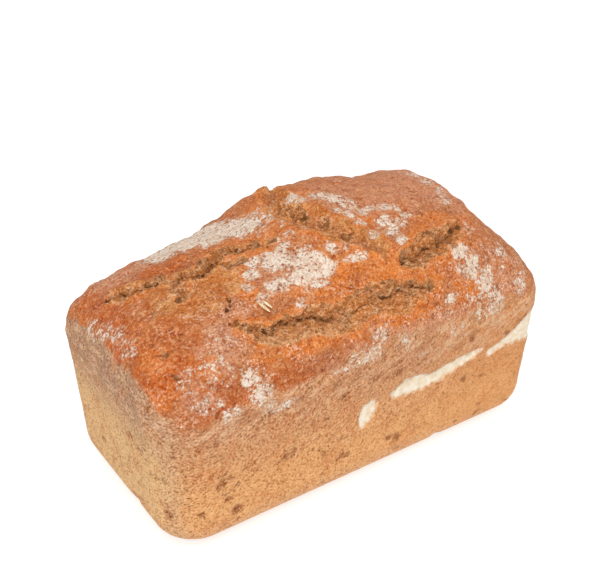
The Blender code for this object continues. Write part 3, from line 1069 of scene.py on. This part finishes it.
def add_grain_and_painted_light(look, see, colour):
    """Mottled grain with painted shade in its hollows and painted light on its crests; on the crown,
    painted highlights as glints and painted shade in creases; and small pores painted dark as shade.
    """
    lively = look.plus(look.times(look.step(look.noise(7.0), 0.42, 0.60), 0.34), 0.20)
    strong = look.plus(look.times(see.crown_share, lively), 0.23)
    pebbled = look.share(look.step(see.x, 0.060, -0.030), look.rest(see.crown_share))
    beady = look.plus(look.times(pebbled, 0.35), 0.42)
    # The same clump, grain and bead noise raises the fine bumps, so beside the crust's own mottling
    # the darker tints are painted shade in the hollows and the paler ones painted light on the
    # crests
    for tint, value, low, high, share, blend in (
        ("#b98050", see.clump, 0.50, 0.30, strong, "MULTIPLY"),
        ("#e9ac80", see.clump, 0.52, 0.66, look.times(strong, 0.55), "MIX"),
        ("#b27544", see.grain, 0.48, 0.30, strong, "MULTIPLY"),
        ("#f2c9a4", see.grain, 0.53, 0.68, look.times(strong, 0.60), "MIX"),
        ("#f4cb9e", see.bead, 0.52, 0.68, look.times(beady, 0.7), "MIX"),
        ("#b07c4c", see.bead, 0.49, 0.34, beady, "MULTIPLY"),
    ):
        colour = look.coat(colour, tint, look.step(value, low, high), share, blend=blend)

    # Painted highlights: short curly glints of sheen on the crown, fewer high up and on the toasted
    # and brightest crust
    ridge = look.maths("ABSOLUTE", look.centred(look.noise(2.8, 4.0, 0.65)))
    glint = look.share(look.step(ridge, 0.030, 0.008), look.step(see.speck, 0.48, 0.58))
    glint = look.larger(glint, look.step(see.speck, 0.62, 0.68))
    dotted = look.step(look.plus(look.noise(8.0, 3.0), see.pink, 0.10), 0.46, 0.62)
    not_plain = look.rest(look.share(look.larger(see.toasted, see.bright), 0.8))
    low_down = look.plus(look.times(look.step(see.z, 0.106, 0.082), 0.8), 0.2)
    colour = look.coat(colour, "#f6dfcc", glint, dotted, not_plain, see.crown_share, low_down, 0.70)

    # Painted shade in thin curly wrinkle creases on the crown
    crease = look.maths("ABSOLUTE", look.centred(look.noise(4.2, 5.0, 0.65)))
    crease_shade = look.share(look.step(crease, 0.026, 0.006), look.step(see.grain, 0.40, 0.55))
    colour = look.coat(colour, "#87481f", crease_shade, see.crown_share, 0.55)
    # Painted shade: small dark dots for pores
    return look.coat(colour, "#6d3a1a", look.step(see.speck, 0.35, 0.29), 0.70)


def add_torn_crumb(look, see, colour):
    """Torn crumb: tan and grey brown, with light strings and dark pores."""
    crumb = look.mix(look.step(see.clump, 0.42, 0.58), "#a66c3f", "#c07f4e")
    crumb = look.coat(crumb, "#cd7b39", look.step(see.blotch, 0.42, 0.51), 0.80)
    low_slope = look.share(look.step(see.z, 0.083, 0.078), look.step(see.x, -0.012, -0.030))
    crumb = look.coat(crumb, "#dc9f6c", low_slope, 0.6)
    for tint, value, low, high, share in (
        ("#e6b88c", see.fibre, 0.52, 0.60, 0.80),
        ("#7a4c2a", see.fibre, 0.47, 0.39, 0.80),
        ("#efc79c", see.speck, 0.57, 0.66, 0.55),
        ("#5f3719", see.speck, 0.42, 0.33, 0.60),
        ("#6b4226", see.pocket, 0.38, 0.32, 0.70),
    ):
        crumb = look.coat(crumb, tint, look.step(value, low, high), share)
    colour = look.coat(colour, crumb, see.valley, look.step(see.blotch, 0.54, 0.60), 0.9)
    return look.mix(see.torn, colour, crumb)


def add_painted_gap_shade(look, see, colour):
    """Painted shade: the deepest lines of the tears and the holes almost black, broken where the
    crumb bridges them, and a brown painted shade beside the lines and in the crumb pits.
    """
    thick = look.plus(look.times(look.step(see.pocket, 0.38, 0.62), 1.6), -0.75)
    wander = look.times(see.ragged, 0.55)
    dark = shade = 0.0
    for name in ("front_line", "side_line", "right_line", "split_line"):
        across = look.maths("ABSOLUTE", look.plus(look.field(name), wander))
        dark = look.larger(look.step(look.maths("SUBTRACT", across, thick), 0.25, -0.15), dark)
        shade = look.larger(look.step(across, 2.2, 0.4), shade)
    hole = look.step(look.plus(look.field("hole_edge"), see.ragged, 0.6), 0.5, -0.4)
    pitted = look.step(look.plus(look.field("crumb_pit"), see.ragged, 0.6), 0.2, -1.2)
    pitted = look.share(pitted, look.step(see.clump, 0.62, 0.46))
    shade = look.larger(look.share(shade, see.torn, look.step(see.blotch, 0.42, 0.56)), pitted)
    colour = look.coat(colour, "#7c4d2a", shade, 0.52)
    colour = look.coat(colour, "#56300f", dark, 0.85)
    return look.coat(colour, "#5a3416", hole, 0.70)


def flour_share(look, see):
    """Where flour lies: single crumbs where it is thin, a broken dry skin where it is thick."""
    flake = look.plus(look.times(look.noise(4.0, 6.0, 0.72), 0.62), look.noise(1.3, 3.0, 0.6), 0.43)
    level = look.plus(look.plus(flake, see.flour, 0.44), -0.79)
    crack = look.flakes(3.8, look.stretched(1.6, 1.0, 1.0, 0.0, -36.0))
    crack = look.plus(crack, look.centred(see.bead), 0.35)
    crack = look.plus(crack, look.step(see.flour, 0.70, 1.0), 0.16)
    solid = look.share(look.step(see.flour, 0.95, 1.0), 0.7)
    speckled = look.larger(look.step(see.grain, 0.35, 0.44), solid)
    flour = look.share(look.step(level, -0.02, 0.06), look.step(see.flour, 0.04, 0.20), speckled)
    return look.share(flour, look.step(crack, 0.02, 0.09), look.step(see.torn_edge, 0.2, 1.2))


def add_flour(look, see, flour, colour):
    """Dry white flour, with a thin veil of it rubbed in round about."""
    white = look.mix(look.step(see.clump, 0.36, 0.56), "#dac6b0", "#f0e6d8")
    white = look.coat(white, "#b98f69", look.step(see.bead, 0.50, 0.36), 0.80)
    colour = look.coat(colour, white, flour, 0.90)
    thin = look.share(look.step(see.flour, 0.25, 0.95), 0.5)
    return look.coat(colour, "#dcbb9f", thin, look.step(see.grain, 0.42, 0.62))


def fine_relief(look, see, flour):
    """Grain everywhere, hollows at the pores and marks, and crumbs of flour on top."""
    wrinkle = look.noise(5.0, 5.0, 0.6, kind="RIDGED_MULTIFRACTAL")
    hollow = look.larger(look.step(see.pore, 0.38, 0.30), look.step(see.mark, 0.8, -0.4))
    fine = look.times(see.clump, 1.2)
    for value, share in (
        (see.grain, 0.9),
        (flour, 0.12),
        (see.bead, 0.24),
        (look.share(wrinkle, see.crown_share), 0.25),
        (look.share(see.fibre, see.torn), 0.5),
        (look.share(hollow, look.rest(see.crown_share)), -0.35),
    ):
        fine = look.plus(fine, value, share)
    return look.times(fine, look.rest(look.share(see.doughy, 0.6)))


def crust_look():
    """Lean spelt crust: dry, matt and mottled, orange brown on the crown, paler in the tin."""
    look = Look("baked_spelt_crust")
    see = crust_values(look)
    flour = flour_share(look, see)
    colour = look.mix(see.crown_share, wall_colour(look, see), crown_colour(look, see))
    colour = add_late_skin(look, see, colour)
    colour = add_grain_and_painted_light(look, see, colour)
    colour = add_torn_crumb(look, see, colour)
    colour = add_painted_gap_shade(look, see, colour)
    colour = add_flour(look, see, flour, colour)

    # Painted shade: the far end, where it turns away from the light, is darkened; pale dough shows
    # in the late split
    colour = look.coat(colour, "#c99a74", look.step(see.x, 0.094, 0.102), 0.45, blend="MULTIPLY")
    dough = look.mix(look.step(see.clump, 0.35, 0.65), "#d7c3a5", "#e5d9c6")
    colour = look.mix(see.doughy, colour, dough)

    rough = look.plus(look.times(look.step(see.clump, 0.3, 0.7), 0.2), 0.60)
    settings = {"Strength": 1.0, "Distance": FINE_RELIEF_DEPTH}
    bump = add_node(look.tree, "ShaderNodeBump", settings, {"Height": fine_relief(look, see, flour)})
    for socket, value in (("Base Color", colour), ("Roughness", rough), ("Normal", bump)):
        look.tree.links.new(value, look.shader.inputs[socket])
    look.shader.inputs["Specular IOR Level"].default_value = 0.15
    return look.material


def husk_look():
    """Dry husk: pale straw, with a fibre along it."""
    look = Look("dry_straw_husk")
    fibre = look.noise(0.5, 3.0, 0.6)
    colour = look.mix(look.step(fibre, 0.35, 0.65), "#c9a273", "#f0dcb8")
    look.tree.links.new(colour, look.shader.inputs["Base Color"])
    look.shader.inputs["Roughness"].default_value = 0.6
    return look.material


def make_floor():
    """A plain pale studio floor, lit a little from below like a light table."""
    bm = bmesh.new()
    bmesh.ops.create_grid(bm, x_segments=1, y_segments=1, size=FLOOR_REACH)
    floor = new_piece("studio_floor", bm)
    look = Look("matt_white_board")
    for socket, value in (
        ("Base Color", linear(FLOOR_COLOUR)),
        ("Emission Color", linear(FLOOR_GLOW_COLOUR)),
        ("Emission Strength", FLOOR_GLOW),
        ("Roughness", 0.9),
        ("Specular IOR Level", 0.1),
    ):
        look.shader.inputs[socket].default_value = value
    floor.data.materials.append(look.material)


def add_soft_light(name, place, aim, size, power):
    """A large square lamp that faces a point."""
    lamp = bpy.data.lights.new(name, "AREA")
    lamp.shape = "SQUARE"
    lamp.size = size
    lamp.energy = power
    item = bpy.data.objects.new(name, lamp)
    item.location = place
    item.rotation_euler = (Vector(aim) - Vector(place)).to_track_quat("-Z", "Y").to_euler()
    bpy.context.scene.collection.objects.link(item)


def add_camera():
    """The photograph's viewpoint."""
    lens = bpy.data.cameras.new("photo_camera")
    lens.sensor_fit = "HORIZONTAL"
    lens.sensor_width = SENSOR_WIDTH
    lens.lens = CAMERA_LENS
    lens.clip_start = CLIP_START
    a = math.radians(CAMERA_AZIMUTH)
    e = math.radians(CAMERA_ELEVATION)
    back = Vector((math.sin(a) * math.cos(e), -math.cos(a) * math.cos(e), math.sin(e)))
    right = Vector((math.cos(a), math.sin(a), 0.0))
    up = back.cross(right)
    roll = Matrix.Rotation(math.radians(CAMERA_ROLL), 3, "Z")
    turn = Matrix((right, up, back)).transposed() @ roll
    camera = bpy.data.objects.new("photo_camera", lens)
    camera.matrix_world = Matrix.Translation(CAMERA_PLACE) @ turn.to_4x4()
    bpy.context.scene.collection.objects.link(camera)
    bpy.context.scene.camera = camera


def light_studio():
    """An even white surround with one large lamp in front and above."""
    world = bpy.data.worlds.new("white_surround")
    bpy.context.scene.world = world
    world.use_nodes = True
    background = world.node_tree.nodes["Background"]
    background.inputs["Color"].default_value = (1.0, 1.0, 1.0, 1.0)
    background.inputs["Strength"].default_value = SURROUND_STRENGTH
    add_soft_light("key_softbox", LAMP_PLACE, LAMP_AIM, LAMP_SIZE, LAMP_POWER)
    bpy.context.scene.view_settings.view_transform = "Standard"


loaf = make_loaf()
loaf.data.materials.append(crust_look())
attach(loaf, "root")
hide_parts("loaf")
straw = husk_look()
for husk_name, husk_start, husk_end, husk_thick in HUSKS:
    husk = make_husk(husk_name, husk_start, husk_end, husk_thick)
    husk.data.materials.append(straw)
    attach(husk, "root")
make_floor()
light_studio()
add_camera()
